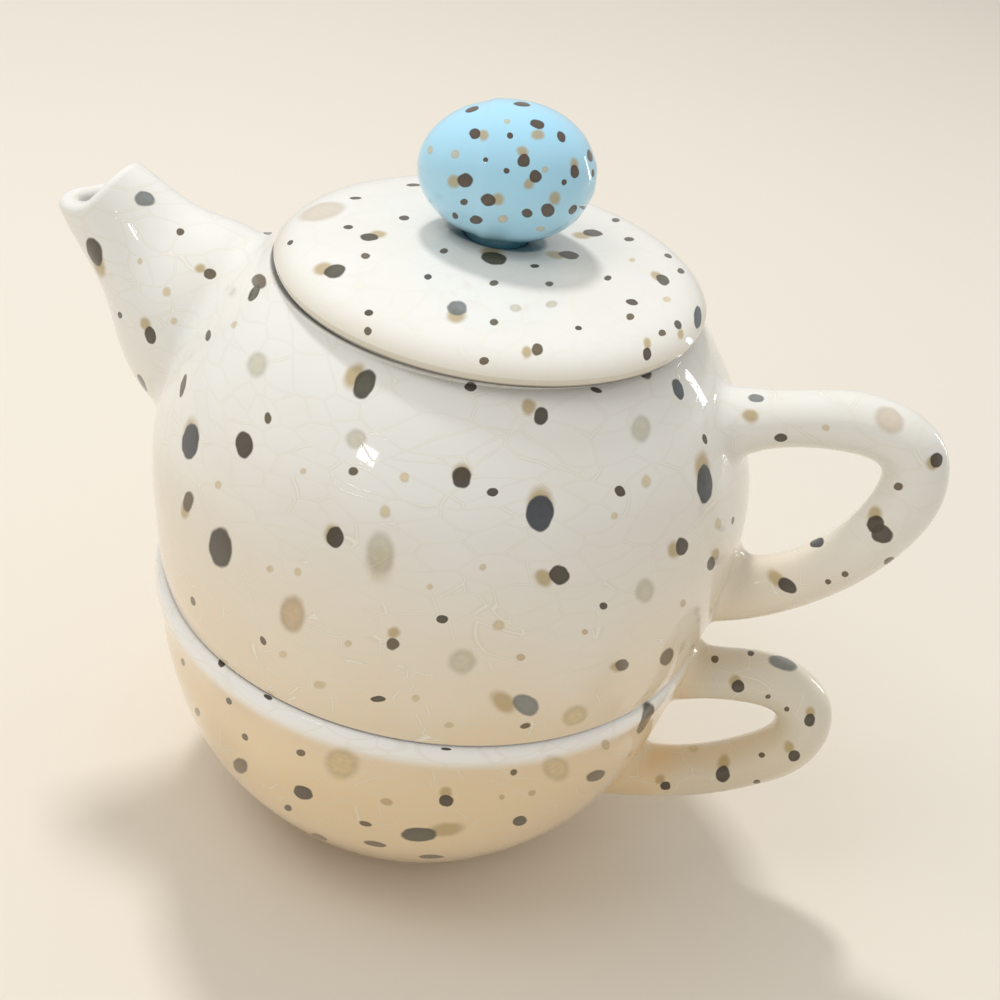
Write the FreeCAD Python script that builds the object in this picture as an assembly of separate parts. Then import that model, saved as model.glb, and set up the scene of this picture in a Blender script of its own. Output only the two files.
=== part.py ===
import FreeCAD, Part
import math
import os

# Tea for one: a teapot that stands in its cup, sizes in mm, Z up.
# Origin: centre of the cup's foot on the table. Handles point to +X, the spout to -X.

# Body sizes
CUP_HEIGHT = 58.0
POT_HEIGHT = 65.6
BELLY_RADIUS = 58.4
WALL = 4.0
FOOT_RADIUS = 26.5
FOOT_HEIGHT = 1.4
FOOT_BEVEL = 0.6
FOOT_SLOPE = 1.0
FLOOR_THICKNESS = 5.0
CUP_FLOOR_RADIUS = 19.9
CUP_FLOOR_TURN = 10.5
CUP_FLOOR_TURN_RISE = 3.4
CUP_INSIDE_LIFT = 1.0

# Seat of the pot on the cup
SEAT_SHARE = 0.84
SEAT_EDGE_ROUND = 0.8
RIM_LAND = 2.8
RIM_BEVEL = 0.6
RIM_BEVEL_HEIGHT = 1.2
LIP_PROUD = 0.9
LIP_HEIGHT = 3.6
LIP_ROUND = 1.7
LIP_TUCK = 0.4
NEST_DEPTH = 10.5
NEST_CLEARANCE = 1.4
NEST_UPRIGHT = 3.0
POT_FOOT_INSET = 10.0
POT_SHIFT = 0.7

# Mouth and lid
MOUTH_RADIUS = 37.2
MOUTH_WALL = 3.0
MOUTH_ROUND = 1.6
MOUTH_ROUND_HEIGHT = 1.2
NECK_HEIGHT = 3.5
HOLLOW_DROP = 1.0
HOLLOW_FLOOR_INSET = 9.2
HOLLOW_FLARE = 1.0
HOLLOW_FLARE_HEIGHT = 4.0
LID_RADIUS = 39.5
LID_EDGE = 4.0
LID_RISE = 4.0
LID_THICKNESS = 4.6
LID_EDGE_LOW = 1.8
LID_UNDERCUT = 0.9
LID_SHOULDER = 1.6
LID_SHOULDER_DROP = 0.5
LID_DOME_STEPS = (0.35, 0.55, 0.75, 0.88)
LID_DOME_POWER = 2.2
LID_FLANGE_DEPTH = 7.0
LID_FLANGE_WALL = 3.4
LID_FLANGE_TAPER = 0.4
LID_FLANGE_DRAFT = 1.0
LID_HOLLOW = 1.0
LID_PLAY = 2.4
LID_SHIFT_X = 1.7
LID_SHIFT_Y = -0.8

# Egg on the lid
EGG_LENGTH = 31.8
EGG_WIDTH = 24.9
EGG_SINK = 0.3
EGG_TAPER = 0.037
EGG_STEPS = 12
EGG_TURN = 10.0
EGG_TIP_UP = 5.0
EGG_OFFSET_X = -0.7
EGG_OFFSET_Y = 1.8
GLAZE_POOL_RADIUS = 6.2
GLAZE_POOL_WIDTH = 1.2
GLAZE_POOL_HEIGHT = 0.9
PAD_RADIUS = 9.0

# Spout and handles
SPOUT_WALL = 4.2
SPOUT_BLEND = 6.0
SPOUT_LIP_ROUND = 1.7
SPOUT_TRIM = 40.0
CUP_HANDLE_BLEND = 3.0
POT_HANDLE_BLEND_SHARE = 0.05137
CUP_LOOP_LOW_SHARE = 0.3
CUP_LOOP_DROP = 5.5
OVAL_POINTS = 12

# Overshoot of a cut past the opening that it makes, and how near counts as touching
OVERSHOOT = 5.0
TOUCH = 0.01

# Pot side: share of the pot's height, share of the way out from the mouth to the belly
POT_SIDE = (
    (0.1, 0.903),
    (0.2, 0.938),
    (0.3, 0.970),
    (0.4, 0.981),
    (0.5, 0.948),
    (0.6, 0.854),
    (0.7, 0.724),
    (0.8, 0.546),
    (0.9, 0.327),
)

# Cup side: share of the cup's height, share of the way out from the foot to the seat
CUP_SIDE = (
    (0.10, 0.242),
    (0.25, 0.526),
    (0.38, 0.709),
    (0.50, 0.821),
    (0.63, 0.905),
    (0.75, 0.958),
    (0.88, 1.000),
)

# Loops: distance out from the belly or the cup's seat, share of the way up between two levels,
# half thickness in the loop's plane, half width across it
POT_LOOP = (
    (-20.7, 0.655, 9.0, 8.0),
    (-10.7, 0.732, 7.6, 7.0),
    (-3.2, 0.784, 5.7, 6.1),
    (6.3, 0.831, 5.3, 5.6),
    (17.4, 0.851, 5.6, 5.6),
    (24.3, 0.806, 6.0, 5.7),
    (26.6, 0.697, 6.0, 5.8),
    (24.7, 0.573, 5.8, 5.8),
    (18.9, 0.422, 5.6, 5.7),
    (11.6, 0.308, 5.6, 5.6),
    (3.3, 0.230, 6.3, 5.9),
    (-5.2, 0.186, 7.0, 6.6),
    (-14.7, 0.152, 8.0, 7.4),
)
CUP_LOOP = (
    (-10.6, 0.838, 7.0, 7.0),
    (-3.1, 0.886, 6.5, 6.3),
    (3.9, 0.937, 5.5, 5.7),
    (11.4, 0.989, 5.3, 5.5),
    (19.0, 1.000, 5.5, 5.5),
    (24.1, 0.906, 5.6, 5.6),
    (25.6, 0.735, 5.6, 5.6),
    (23.7, 0.573, 5.4, 5.6),
    (18.5, 0.416, 5.3, 5.5),
    (12.0, 0.279, 5.3, 5.4),
    (2.2, 0.137, 5.5, 5.5),
    (-5.6, 0.077, 6.1, 6.0),
    (-13.6, 0.034, 6.8, 6.6),
    (-23.6, 0.000, 7.2, 7.0),
)

# Spout stations from inside the belly to beyond the lip: underside point, upper point
# (distance out from the belly, share of the pot's height), half width across
SPOUT_STATIONS = (
    (-21.3, 0.091, -41.3, 0.579, 23.0),
    (-10.7, 0.229, -29.7, 0.747, 23.0),
    (-1.1, 0.331, -19.7, 0.854, 20.2),
    (7.2, 0.431, -12.2, 0.927, 17.4),
    (11.9, 0.553, -5.7, 0.951, 13.9),
    (15.6, 0.674, 0.1, 0.971, 10.8),
    (21.4, 0.794, 6.3, 1.021, 8.6),
    (25.6, 0.890, 11.9, 1.064, 7.3),
    (29.2, 0.986, 17.8, 1.107, 7.0),
)

# Lip line of the spout in its own plane: distance out from the belly, share of the pot's height
SPOUT_LIP = (
    (29.5, 0.907),
    (25.6, 0.922),
    (20.7, 0.934),
    (17.7, 0.953),
    (15.6, 0.988),
    (12.5, 1.052),
    (9.2, 1.085),
)

Z_AXIS = FreeCAD.Vector(0, 0, 1)
ORIGIN = FreeCAD.Vector(0, 0, 0)
SEAT_RADIUS = MOUTH_RADIUS + SEAT_SHARE * (BELLY_RADIUS - MOUTH_RADIUS)
SEAT_Z = CUP_HEIGHT
MOUTH_Z = CUP_HEIGHT + POT_HEIGHT
CROWN_Z = MOUTH_Z + LID_EDGE + LID_RISE
BORE_RADIUS = MOUTH_RADIUS - MOUTH_WALL
NEST_RADIUS = SEAT_RADIUS - WALL - NEST_CLEARANCE
POT_STANDS = FreeCAD.Vector(POT_SHIFT, 0, 0)
LID_RESTS = POT_STANDS + FreeCAD.Vector(LID_SHIFT_X, LID_SHIFT_Y, 0)


def point(x, z):
    """A point in the plane through both handles."""
    return FreeCAD.Vector(x, 0, z)


def line(start, end):
    return Part.LineSegment(point(*start), point(*end)).toShape()


def curve(points):
    """Smooth curve through points of the handle plane."""
    spline = Part.BSplineCurve()
    spline.interpolate([point(*p) for p in points])
    return spline.toShape()


def bend(start, middle, end):
    return Part.Arc(point(*start), point(*middle), point(*end)).toShape()


def rounded(upright, level):
    """Round corner that leaves one end upright and the other level."""
    turn = math.sqrt(0.5)
    x = level[0] + turn * (upright[0] - level[0])
    z = upright[1] + turn * (level[1] - upright[1])
    along = point(0, level[1] - upright[1]).normalize()
    across = point(level[0] - upright[0], 0).normalize()
    corner = Part.BSplineCurve()
    ends = [point(*upright), point(x, z), point(*level)]
    corner.interpolate(Points=ends, InitialTangent=along, FinalTangent=across)
    return corner.toShape()


def turned(edges):
    """Solid of revolution about Z from a closed chain of edges."""
    face = Part.Face(Part.Wire(edges))
    return face.revolve(ORIGIN, Z_AXIS, 360)


def oval(centre, along, across, half_along, half_across):
    """Closed smooth section in the plane of two unit vectors."""
    points = []
    for k in range(OVAL_POINTS):
        angle = 2 * math.pi * k / OVAL_POINTS
        points.append(
            centre
            + along * (half_along * math.cos(angle))
            + across * (half_across * math.sin(angle))
        )
    spline = Part.BSplineCurve()
    spline.interpolate(Points=points, PeriodicFlag=True)
    return Part.Wire(spline.toShape())


def loop_handle(rows, radius, low, high):
    """Bent round bar through stations of a loop beside a body of that radius."""
    centres = [point(radius + r[0], low + r[1] * (high - low)) for r in rows]
    across = FreeCAD.Vector(0, 1, 0)
    sections = []
    for k, row in enumerate(rows):
        before = centres[max(k - 1, 0)]
        after = centres[min(k + 1, len(rows) - 1)]
        along = (after - before).normalize()
        normal = across.cross(along)
        sections.append(oval(centres[k], normal, across, row[2], row[3]))
    return Part.makeLoft(sections, True, False)


def spout_form(inset):
    """Spout skin, or the channel in it when it is inset by the wall."""
    across = FreeCAD.Vector(0, 1, 0)
    sections = []
    for low_out, low_share, top_out, top_share, half_width in SPOUT_STATIONS:
        low = point(-BELLY_RADIUS - low_out, SEAT_Z + low_share * POT_HEIGHT)
        top = point(-BELLY_RADIUS - top_out, SEAT_Z + top_share * POT_HEIGHT)
        centre = (low + top) * 0.5
        half = (top - low).Length / 2
        along = (top - low).normalize()
        sections.append(oval(centre, along, across, half - inset, half_width - inset))
    return Part.makeLoft(sections, True, False)


def above_lip():
    """Block that trims the spout to its lip line."""
    points = [(-BELLY_RADIUS - out, SEAT_Z + share * POT_HEIGHT) for out, share in SPOUT_LIP]
    far = (points[0][0] - SPOUT_TRIM, points[0][1])
    top = (points[-1][0], points[-1][1] + SPOUT_TRIM)
    corner = (far[0], top[1])
    edges = [curve(points), line(points[-1], top), line(top, corner), line(corner, far)]
    edges.append(line(far, points[0]))
    face = Part.Face(Part.Wire(edges))
    face.translate(FreeCAD.Vector(0, -BELLY_RADIUS, 0))
    return face.extrude(FreeCAD.Vector(0, 2 * BELLY_RADIUS, 0))


def shared_edges(whole, first, second):
    """Edges of the fused solid that lie on the skins of both parts."""
    found = []
    for edge in whole.Edges:
        middle = Part.Vertex(edge.valueAt((edge.FirstParameter + edge.LastParameter) / 2))
        on_first = first.Shells[0].distToShape(middle)[0] < TOUCH
        on_second = second.Shells[0].distToShape(middle)[0] < TOUCH
        if on_first and on_second:
            found.append(edge)
    return found


def joined(first, second, radius):
    """Fuse two solids and round the seam between them."""
    whole = first.fuse(second)
    return whole.makeFillet(radius, shared_edges(whole, first, second))


def pot_radius(share):
    """Radius some way out from the mouth to the belly."""
    return MOUTH_RADIUS + share * (BELLY_RADIUS - MOUTH_RADIUS)


def cup_radius(share):
    """Radius some way out from the foot to the seat."""
    return FOOT_RADIUS + share * (SEAT_RADIUS - FOOT_RADIUS)


def pot_skin():
    """Turned outside of the pot with the foot that nests in the cup."""
    foot_z = SEAT_Z - NEST_DEPTH
    foot_outer = NEST_RADIUS - POT_FOOT_INSET
    foot_inner = foot_outer - WALL
    recess_z = foot_z + FOOT_HEIGHT
    recess_end = (foot_inner - FOOT_SLOPE, recess_z)
    nest_low = (NEST_RADIUS, SEAT_Z - NEST_UPRIGHT)
    low_edge = (SEAT_RADIUS, SEAT_Z + SEAT_EDGE_ROUND)
    flat_end = (SEAT_RADIUS - SEAT_EDGE_ROUND, SEAT_Z)
    side = [low_edge]
    side += [(pot_radius(r), SEAT_Z + u * POT_HEIGHT) for u, r in POT_SIDE]
    side.append((MOUTH_RADIUS + MOUTH_ROUND, MOUTH_Z - MOUTH_ROUND_HEIGHT))
    edges = [
        line((0, recess_z), recess_end),
        line(recess_end, (foot_inner, foot_z)),
        line((foot_inner, foot_z), (foot_outer, foot_z)),
        rounded(nest_low, (foot_outer, foot_z)),
        line(nest_low, (NEST_RADIUS, SEAT_Z)),
        line((NEST_RADIUS, SEAT_Z), flat_end),
        rounded(low_edge, flat_end),
        curve(side),
        rounded(side[-1], (MOUTH_RADIUS, MOUTH_Z)),
        line((MOUTH_RADIUS, MOUTH_Z), (0, MOUTH_Z)),
        line((0, MOUTH_Z), (0, recess_z)),
    ]
    return turned(edges)


def pot_hollow():
    """Room for the tea, open at the mouth."""
    floor_z = SEAT_Z - NEST_DEPTH + FOOT_HEIGHT + WALL
    inner = NEST_RADIUS - WALL
    floor_end = (inner - HOLLOW_FLOOR_INSET, floor_z)
    top = MOUTH_Z + OVERSHOOT
    neck = (BORE_RADIUS, MOUTH_Z - NECK_HEIGHT)
    side = [(inner, SEAT_Z - HOLLOW_DROP)]
    side.append((inner + HOLLOW_FLARE, SEAT_Z + HOLLOW_FLARE_HEIGHT))
    side += [(pot_radius(r) - WALL, SEAT_Z + u * POT_HEIGHT) for u, r in POT_SIDE[1:-1]]
    side.append(neck)
    edges = [
        line((0, floor_z), floor_end),
        rounded(side[0], floor_end),
        curve(side),
        line(neck, (BORE_RADIUS, top)),
        line((BORE_RADIUS, top), (0, top)),
        line((0, top), (0, floor_z)),
    ]
    return turned(edges)


def teapot():
    """Pot body, spout and loop handle in one piece, standing off centre in the cup's play."""
    trim = above_lip()
    spout = spout_form(0.0).cut(trim)
    body = joined(pot_skin(), spout, SPOUT_BLEND)
    handle = loop_handle(POT_LOOP, BELLY_RADIUS, SEAT_Z, MOUTH_Z)
    body = joined(body, handle, POT_HANDLE_BLEND_SHARE * BELLY_RADIUS)
    hollow = body.cut(pot_hollow()).cut(spout_form(SPOUT_WALL))
    solid = hollow.makeFillet(SPOUT_LIP_ROUND, shared_edges(hollow, trim, trim))
    solid.translate(POT_STANDS)
    return solid


def cup_skin():
    """Turned outside of the bowl with its foot ring and rounded lip."""
    foot_inner = FOOT_RADIUS - WALL
    recess_end = (foot_inner - FOOT_SLOPE, FOOT_HEIGHT)
    foot_end = (FOOT_RADIUS - FOOT_BEVEL, 0)
    lip = SEAT_RADIUS + LIP_PROUD
    land_end = (SEAT_RADIUS - LIP_TUCK, CUP_HEIGHT)
    side = [(FOOT_RADIUS, FOOT_HEIGHT)]
    side += [(cup_radius(r), u * CUP_HEIGHT) for u, r in CUP_SIDE]
    side += [(lip, CUP_HEIGHT - LIP_HEIGHT), (lip, CUP_HEIGHT - LIP_ROUND)]
    edges = [
        line((0, FOOT_HEIGHT), recess_end),
        line(recess_end, (foot_inner, 0)),
        line((foot_inner, 0), foot_end),
        line(foot_end, (FOOT_RADIUS, FOOT_HEIGHT)),
        curve(side),
        rounded(side[-1], land_end),
        line(land_end, (0, CUP_HEIGHT)),
        line((0, CUP_HEIGHT), (0, FOOT_HEIGHT)),
    ]
    return turned(edges)


def cup_hollow():
    """Room for the drink, open at the rim."""
    floor_z = FOOT_HEIGHT + FLOOR_THICKNESS
    floor_end = (CUP_FLOOR_RADIUS, floor_z)
    rim = SEAT_RADIUS - RIM_LAND
    top = CUP_HEIGHT + OVERSHOOT
    side = [floor_end]
    side.append((CUP_FLOOR_RADIUS + CUP_FLOOR_TURN, floor_z + CUP_FLOOR_TURN_RISE))
    for u, r in CUP_SIDE[1:]:
        side.append((cup_radius(r) - WALL, u * CUP_HEIGHT + CUP_INSIDE_LIFT))
    side.append((rim - RIM_BEVEL, CUP_HEIGHT - RIM_BEVEL_HEIGHT))
    edges = [
        line((0, floor_z), floor_end),
        curve(side),
        line(side[-1], (rim, CUP_HEIGHT)),
        line((rim, CUP_HEIGHT), (rim, top)),
        line((rim, top), (0, top)),
        line((0, top), (0, floor_z)),
    ]
    return turned(edges)


def cup():
    """Bowl with a rounded lip and its own loop handle, fired as one piece."""
    low = CUP_LOOP_LOW_SHARE * CUP_HEIGHT
    high = CUP_HEIGHT - CUP_LOOP_DROP
    body = joined(cup_skin(), loop_handle(CUP_LOOP, SEAT_RADIUS, low, high), CUP_HANDLE_BLEND)
    return body.cut(cup_hollow())


def under_dome(radius, low, high):
    """Half of a shallow arc from the axis down to a level at the radius."""
    rise = high - low
    sphere = (radius ** 2 + rise ** 2) / (2 * rise)
    half_way = high - sphere + math.sqrt(sphere ** 2 - (radius / 2) ** 2)
    return bend((0, high), (radius / 2, half_way), (radius, low))


def lid():
    """Domed lid with a locating flange, resting a little off centre in its play."""
    edge_top = MOUTH_Z + LID_EDGE
    flange_outer = BORE_RADIUS - LID_PLAY
    flange_inner = flange_outer - LID_FLANGE_WALL
    flange_end = MOUTH_Z - LID_FLANGE_DEPTH
    flange_tip = (flange_outer - LID_FLANGE_TAPER, flange_end)
    under = (flange_inner - LID_FLANGE_DRAFT, MOUTH_Z + LID_HOLLOW)
    under_crown = CROWN_Z - LID_THICKNESS
    dome = [(PAD_RADIUS, CROWN_Z)]
    for share in LID_DOME_STEPS:
        dome.append((share * LID_RADIUS, CROWN_Z - LID_RISE * share ** LID_DOME_POWER))
    shoulder = (LID_RADIUS - LID_SHOULDER, edge_top - LID_SHOULDER_DROP)
    side = (LID_RADIUS, MOUTH_Z + LID_EDGE_LOW)
    low = (LID_RADIUS - LID_UNDERCUT, MOUTH_Z)
    edges = [
        line((0, CROWN_Z), dome[0]),
        curve(dome + [shoulder, side]),
        rounded(side, low),
        line(low, (flange_outer, MOUTH_Z)),
        line((flange_outer, MOUTH_Z), flange_tip),
        line(flange_tip, (flange_inner, flange_end)),
        line((flange_inner, flange_end), under),
        under_dome(under[0], under[1], under_crown),
        line((0, under_crown), (0, CROWN_Z)),
    ]
    solid = turned(edges)
    solid.translate(LID_RESTS)
    return solid


def egg_side(half, radius, first, last):
    """Egg outline beside Z between two of its equal angle steps from the top pole."""
    points = []
    for k in range(first, last + 1):
        angle = math.pi * k / EGG_STEPS
        fullness = radius * math.sin(angle) * (1 - EGG_TAPER * math.cos(angle))
        points.append(point(fullness, half * math.cos(angle)))
    outline = Part.BSplineCurve()
    if first == 0:
        points[0] = point(0, half)
        outline.interpolate(Points=points, InitialTangent=point(1, 0), FinalTangent=point(0, -1))
    else:
        points[-1] = point(0, -half)
        outline.interpolate(Points=points, InitialTangent=point(0, -1), FinalTangent=point(-1, 0))
    return outline.toShape()


def glaze_pool():
    """Hollow-sided ring of glaze round the place where the egg is stuck down."""
    top = CROWN_Z + GLAZE_POOL_HEIGHT
    inner = GLAZE_POOL_RADIUS - GLAZE_POOL_WIDTH
    turn = math.sqrt(0.5)
    hollow = (GLAZE_POOL_RADIUS - turn * GLAZE_POOL_WIDTH, top - turn * GLAZE_POOL_HEIGHT)
    edges = [
        line((0, CROWN_Z), (GLAZE_POOL_RADIUS, CROWN_Z)),
        bend((GLAZE_POOL_RADIUS, CROWN_Z), hollow, (inner, top)),
        line((inner, top), (0, top)),
        line((0, top), (0, CROWN_Z)),
    ]
    return turned(edges)


def egg_knob():
    """Egg lying on its side, stuck to the lid in a small pool of its own glaze."""
    half = EGG_LENGTH / 2
    radius = EGG_WIDTH / 2
    waist = EGG_STEPS // 2
    upper = egg_side(half, radius, 0, waist)
    lower = egg_side(half, radius, waist, EGG_STEPS)
    egg = turned([upper, lower, line((0, -half), (0, half))])
    egg.rotate(ORIGIN, FreeCAD.Vector(0, 1, 0), -90 - EGG_TIP_UP)
    egg.rotate(ORIGIN, Z_AXIS, EGG_TURN)
    egg.translate(FreeCAD.Vector(0, 0, CROWN_Z + radius - EGG_SINK))
    below = Part.makeBox(2 * half, 2 * half, half)
    below.translate(FreeCAD.Vector(-half, -half, CROWN_Z - half))
    solid = egg.cut(below).fuse(glaze_pool())
    solid.translate(LID_RESTS + FreeCAD.Vector(EGG_OFFSET_X, EGG_OFFSET_Y, 0))
    return solid


def write(name, shape):
    """Save one node as a STEP file."""
    if len(shape.Solids) == 1:
        shape = shape.Solids[0]
    shape.exportStep(os.path.join("parts", name + ".step"))
    box = shape.BoundBox
    print(name, len(shape.Solids), shape.isValid(), round(shape.Volume), box)


os.makedirs("parts", exist_ok=True)
write("cup", cup())
write("teapot", teapot())
write("lid", lid())
write("egg_knob", egg_knob())
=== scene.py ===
import math
import random

import bpy
import numpy as np
from mathutils import Matrix, Vector
from mathutils.bvhtree import BVHTree


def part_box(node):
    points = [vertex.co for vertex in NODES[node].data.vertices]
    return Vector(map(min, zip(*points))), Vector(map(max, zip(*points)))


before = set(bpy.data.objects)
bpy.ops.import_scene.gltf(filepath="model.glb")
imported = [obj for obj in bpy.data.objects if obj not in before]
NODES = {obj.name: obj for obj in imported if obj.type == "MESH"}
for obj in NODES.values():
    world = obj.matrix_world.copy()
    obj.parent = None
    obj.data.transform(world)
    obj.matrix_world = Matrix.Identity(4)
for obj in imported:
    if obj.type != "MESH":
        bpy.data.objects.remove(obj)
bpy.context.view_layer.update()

# Camera at the photograph's viewing angle, in metres and degrees
PHOTO_SIZE = 1000
SENSOR_MM = 36.0
LENS_MM = 57.6
NEAREST_SIGHT = 0.01
CAMERA_AIM = Vector((0.0112, 0.0, 0.0770))
CAMERA_DISTANCE = 0.3165
CAMERA_TURN = 9.63
CAMERA_DOWN = 33.23
CAMERA_ROLL = 10.31

# Glaze colours, and colours of painted shade and painted highlight, sRGB 0 to 255
CREAM = (242, 241, 236)
CREAM_LOW = (241, 216, 176)
# greyer cream of the handles, partly painted shade
HANDLE_CREAM_AND_SHADE = (226, 219, 202)
# whiter glaze of the cup's lip, made whiter still as a painted highlight
LIP_GLAZE_AND_HIGHLIGHT = (252, 251, 248)
# painted shade on the lid's rim
RIM_SHADE = (214, 202, 172)
FOOT_TONE = (204, 168, 104)
BLUSH = (226, 204, 166)
CRACK = (254, 250, 236)
CRACK_SHADE = (202, 196, 176)
# painted shade in the gaps between lid and pot and between pot and cup
GAP_SHADE = (50, 38, 28)
EGG_BLUE = (176, 229, 254)
# pooled egg glaze, darkened as painted shade under the egg and around its foot
EGG_POOL_AND_SHADE = (64, 128, 148)
GHOST = (184, 160, 106)
TONES = {
    "brown": (68, 58, 44),
    "bronze": (74, 72, 54),
    "blue": (56, 64, 72),
    "grey": (102, 108, 108),
    "olive": (84, 68, 34),
    "moss": (178, 170, 140),
    "tan": (188, 160, 118),
    "sand": (204, 182, 134),
    "umber": (80, 58, 32),
}

# How each kind of spot lies in the glaze: colour, opacity, softness of its edge
KINDS = {
    "dark": ("brown", 0.96, 0.10),
    "bronze": ("bronze", 0.96, 0.10),
    "blue": ("blue", 0.96, 0.08),
    "grey": ("grey", 0.85, 0.14),
    "olive": ("olive", 0.92, 0.14),
    "faint": ("moss", 0.55, 0.30),
    "rose": ("tan", 0.45, 0.22),
    "tan": ("tan", 0.75, 0.25),
    "pale": ("sand", 0.75, 0.30),
    "speck": ("sand", 0.70, 0.45),
    "egg": ("umber", 0.95, 0.10),
    "egg_faint": ("sand", 0.70, 0.35),
}

# Strength of the ghost beside a faint spot, against 1 beside the others
FAINT_GHOST = 0.35

# Spots read from the photograph: pixel x, y, width, height, lean in degrees
# clockwise from upright, kind, and the pixel offset of the soft ghost beside it
BODY_SPOTS = [
    (220, 548, 23, 41, -4, "dark"),
    (190, 441, 17, 36, 6, "blue", 0, -6),
    (244, 445, 17, 27, 0, "dark"),
    (188, 502, 10, 20, 8, "olive", -3, 8),
    (335, 537, 17, 21, 0, "dark", -3, -3),
    (462, 477, 20, 22, 0, "dark", 0, -4),
    (493, 492, 11, 8, 0, "dark"),
    (540, 513, 27, 36, 0, "blue", 0, -9),
    (559, 575, 20, 18, 30, "dark", -15, 3),
    (620, 491, 10, 11, -30, "dark"),
    (682, 546, 12, 18, 5, "dark", -8, 4),
    (711, 564, 8, 14, 15, "dark", 5, -9),
    (705, 484, 16, 38, 0, "blue", -2, -14),
    (705, 439, 5, 10, -12, "dark"),
    (678, 389, 10, 22, -20, "blue"),
    (541, 416, 15, 18, 10, "dark", -12, -9),
    (470, 387, 13, 9, 0, "dark"),
    (596, 390, 12, 5, 20, "dark"),
    (603, 606, 8, 7, 0, "dark"),
    (442, 619, 10, 7, 0, "dark"),
    (622, 665, 14, 11, -20, "olive", -5, 2),
    (667, 657, 12, 19, 30, "olive"),
    (526, 705, 27, 20, 30, "grey", -22, -2),
    (525, 726, 11, 5, -15, "olive"),
    (378, 699, 15, 6, 0, "dark"),
    (393, 644, 14, 12, 0, "olive", 1, -11),
    (354, 471, 10, 9, 0, "olive"),
    (268, 418, 7, 12, 0, "olive"),
    (193, 601, 4, 10, -15, "olive"),
    (263, 641, 5, 10, -30, "olive"),
    (364, 384, 20, 30, 26, "bronze", -10, -8),
    (254, 293, 8, 17, 33, "bronze"),
    (259, 281, 15, 14, 30, "olive"),
    (208, 335, 5, 11, 12, "dark"),
    (183, 385, 5, 24, 12, "dark"),
    (222, 663, 7, 8, -35, "dark"),
    (268, 697, 10, 5, 25, "dark"),
    (446, 749, 10, 3, 5, "dark"),
    (641, 429, 20, 26, 0, "faint"),
    (645, 591, 18, 24, 12, "faint"),
    (462, 662, 27, 24, 0, "faint"),
    (575, 716, 26, 18, -25, "pale"),
    (292, 615, 26, 36, 0, "tan"),
    (380, 553, 28, 40, 0, "faint", 0, 12),
    (356, 439, 19, 20, 0, "faint"),
    (257, 364, 20, 26, 20, "faint"),
    (303, 471, 6, 6, 0, "speck"),
    (218, 485, 6, 8, 0, "speck"),
    (283, 654, 7, 6, 0, "speck"),
    (270, 569, 7, 7, 0, "speck"),
    (298, 572, 6, 7, 0, "speck"),
    (385, 512, 10, 12, 0, "speck"),
    (404, 477, 8, 8, 0, "speck"),
    (348, 644, 7, 7, 0, "speck"),
    (320, 685, 10, 7, 0, "speck"),
    (416, 698, 7, 6, 0, "speck"),
    (430, 587, 6, 6, 0, "speck"),
    (483, 567, 6, 6, 0, "speck"),
    (449, 725, 9, 5, 0, "speck"),
    (499, 625, 11, 9, 0, "speck"),
    (521, 657, 8, 6, 0, "tan"),
    (585, 632, 7, 6, -20, "tan"),
    (683, 603, 5, 7, 15, "tan"),
    (614, 516, 6, 7, 0, "speck"),
    (646, 481, 9, 12, 0, "speck"),
    (733, 520, 3, 8, 5, "olive"),
    (718, 524, 6, 12, 10, "speck"),
]
SPOUT_SPOTS = [
    (145, 199, 21, 15, 8, "grey"),
    (94, 252, 14, 30, -18, "dark", 4, 13),
    (180, 232, 8, 7, 0, "olive"),
    (210, 274, 12, 11, 0, "olive", -10, -6),
    (150, 335, 11, 17, -18, "dark", -5, -11),
    (120, 315, 5, 7, -20, "dark"),
    (142, 383, 5, 20, -28, "dark"),
    (140, 261, 5, 6, 0, "speck"),
    (167, 292, 7, 9, 0, "speck"),
    (174, 321, 6, 6, 0, "speck"),
    (234, 325, 5, 8, 30, "speck"),
    (268, 233, 9, 3, 0, "dark"),
]
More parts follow.
